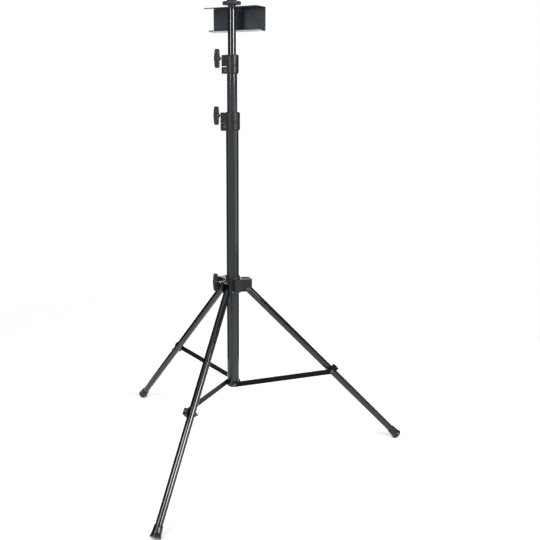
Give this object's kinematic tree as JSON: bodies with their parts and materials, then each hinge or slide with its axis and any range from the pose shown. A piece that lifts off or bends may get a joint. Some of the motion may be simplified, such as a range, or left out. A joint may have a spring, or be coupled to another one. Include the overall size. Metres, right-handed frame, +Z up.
{
  "type": "tripod music stand",
  "caption": "Tall telescopic tripod stand with a sliding leg hub, flat leg braces, clamp collars with wing knobs and a sheet steel channel bracket on top.",
  "frame": {"origin": "on the floor, on the axis of the mast", "axes": "+Z up along the mast, -Y towards the front of the stand, +X to its right"},
  "size_m": [0.8593, 0.9128, 1.3063],
  "materials": {
    "tube_coat": "satin black powder coat",
    "strip_coat": "satin black powder coat",
    "sheet_coat": "satin black powder coat",
    "clamp_plastic": "moulded, fine grain",
    "hub_plastic": "moulded, semi-gloss",
    "knob_plastic": "moulded, semi-gloss",
    "bush_nylon": "moulded nylon",
    "foot_rubber": "matt",
    "stud_steel": "zinc plated",
    "black_screw": "black zinc"
  },
  "bodies": {
    "mast": {"mast_tube": "tube_coat", "mast_end_plug": "bush_nylon", "brace_pivot_screws": "black_screw", "lower_clamp": "clamp_plastic", "lower_clamp_bush": "bush_nylon", "lower_clamp_screw": "black_screw"},
    "middle_section": {"middle_tube": "tube_coat", "middle_tube_guide": "bush_nylon", "upper_clamp": "clamp_plastic", "upper_clamp_bush": "bush_nylon", "upper_clamp_screw": "black_screw"},
    "top_section": {"top_rod": "tube_coat", "top_rod_guide": "bush_nylon", "top_rod_insert": "stud_steel"},
    "bracket": {"top_bracket": "sheet_coat", "bracket_washer": "bush_nylon"},
    "top_knob": {"top_knob": "knob_plastic", "top_knob_stud": "stud_steel"},
    "lower_clamp_knob": {"lower_clamp_knob": "knob_plastic", "lower_clamp_stud": "stud_steel"},
    "upper_clamp_knob": {"upper_clamp_knob": "knob_plastic", "upper_clamp_stud": "stud_steel"},
    "hub": {"hub": "hub_plastic", "hub_bush": "bush_nylon", "leg_pivot_bolts": "black_screw", "leg_pivot_nuts": "black_screw"},
    "hub_knob": {"hub_knob": "knob_plastic", "hub_stud": "stud_steel"},
    "leg_right": {"leg_right": "tube_coat", "leg_plug_right": "bush_nylon", "foot_right": "foot_rubber", "leg_bracket_right": "hub_plastic", "bracket_screw_right": "black_screw", "brace_bolt_right": "black_screw", "brace_nut_right": "black_screw"},
    "brace_right": {"brace_right": "strip_coat", "brace_rivet_right": "black_screw"},
    "leg_back": {"leg_back": "tube_coat", "leg_plug_back": "bush_nylon", "foot_back": "foot_rubber", "leg_bracket_back": "hub_plastic", "bracket_screw_back": "black_screw", "brace_bolt_back": "black_screw", "brace_nut_back": "black_screw"},
    "brace_back": {"brace_back": "strip_coat", "brace_rivet_back": "black_screw"},
    "leg_front": {"leg_front": "tube_coat", "leg_plug_front": "bush_nylon", "foot_front": "foot_rubber", "leg_bracket_front": "hub_plastic", "bracket_screw_front": "black_screw", "brace_bolt_front": "black_screw", "brace_nut_front": "black_screw"},
    "brace_front": {"brace_front": "strip_coat", "brace_rivet_front": "black_screw"}
  },
  "joints": [
    {"name": "middle_slide", "type": "slide", "parent": "mast", "child": "middle_section", "axis": [0, 0, 1], "range_m": [-0.1, 0.45]},
    {"name": "rod_slide", "type": "slide", "parent": "middle_section", "child": "top_section", "axis": [0, 0, 1], "range_m": [-0.043, 0.45]},
    {"name": "bracket_swivel", "type": "hinge", "parent": "top_section", "child": "bracket", "pos_m": [0, 0, 1.281], "axis": [0, 0, 1], "continuous": true},
    {"name": "top_knob_turn", "type": "hinge", "parent": "top_section", "child": "top_knob", "pos_m": [0, 0, 1.29], "axis": [0, 0, 1], "range_deg": [0, 720]},
    {"name": "lower_clamp_knob_turn", "type": "hinge", "parent": "mast", "child": "lower_clamp_knob", "pos_m": [0, 0, 0.9999], "axis": [-0.9894, -0.1452, 0], "range_deg": [0, 540]},
    {"name": "upper_clamp_knob_turn", "type": "hinge", "parent": "middle_section", "child": "upper_clamp_knob", "pos_m": [0, 0, 1.1514], "axis": [-0.9894, -0.1452, 0], "range_deg": [0, 540]},
    {"name": "hub_slide", "type": "slide", "parent": "mast", "child": "hub", "axis": [0, 0, 1], "range_m": [0, 0.375]},
    {"name": "hub_knob_turn", "type": "hinge", "parent": "hub", "child": "hub_knob", "pos_m": [0, 0, 0.528], "axis": [-0.9894, -0.1452, 0], "range_deg": [0, 540]},
    {"name": "leg_right_fold", "type": "hinge", "parent": "hub", "child": "leg_right", "pos_m": [0.04156, 0.0061, 0.508], "axis": [-0.1452, 0.9894, 0], "range_deg": [0, 43.73]},
    {"name": "brace_right_fold", "type": "hinge", "parent": "mast", "child": "brace_right", "pos_m": [0, 0, 0.2171], "axis": [0.1452, -0.9894, 0], "range_deg": [0, 77.46]},
    {"name": "leg_back_fold", "type": "hinge", "parent": "hub", "child": "leg_back", "pos_m": [-0.02606, 0.03294, 0.508], "axis": [-0.7842, -0.6205, 0], "range_deg": [0, 43.73]},
    {"name": "brace_back_fold", "type": "hinge", "parent": "mast", "child": "brace_back", "pos_m": [0, 0, 0.2171], "axis": [0.7842, 0.6205, 0], "range_deg": [0, 77.46]},
    {"name": "leg_front_fold", "type": "hinge", "parent": "hub", "child": "leg_front", "pos_m": [-0.0155, -0.03904, 0.508], "axis": [0.9295, -0.3689, 0], "range_deg": [0, 43.73]},
    {"name": "brace_front_fold", "type": "hinge", "parent": "mast", "child": "brace_front", "pos_m": [0, 0, 0.2171], "axis": [-0.9295, 0.3689, 0], "range_deg": [0, 77.46]}
  ],
  "couplings": [
    {"joint": "leg_right_fold", "follows": "hub_slide", "rad_per_m": 2.0332},
    {"joint": "brace_right_fold", "follows": "hub_slide", "rad_per_m": 3.6012},
    {"joint": "leg_back_fold", "follows": "hub_slide", "rad_per_m": 2.0332},
    {"joint": "brace_back_fold", "follows": "hub_slide", "rad_per_m": 3.6012},
    {"joint": "leg_front_fold", "follows": "hub_slide", "rad_per_m": 2.0332},
    {"joint": "brace_front_fold", "follows": "hub_slide", "rad_per_m": 3.6012}
  ]
}
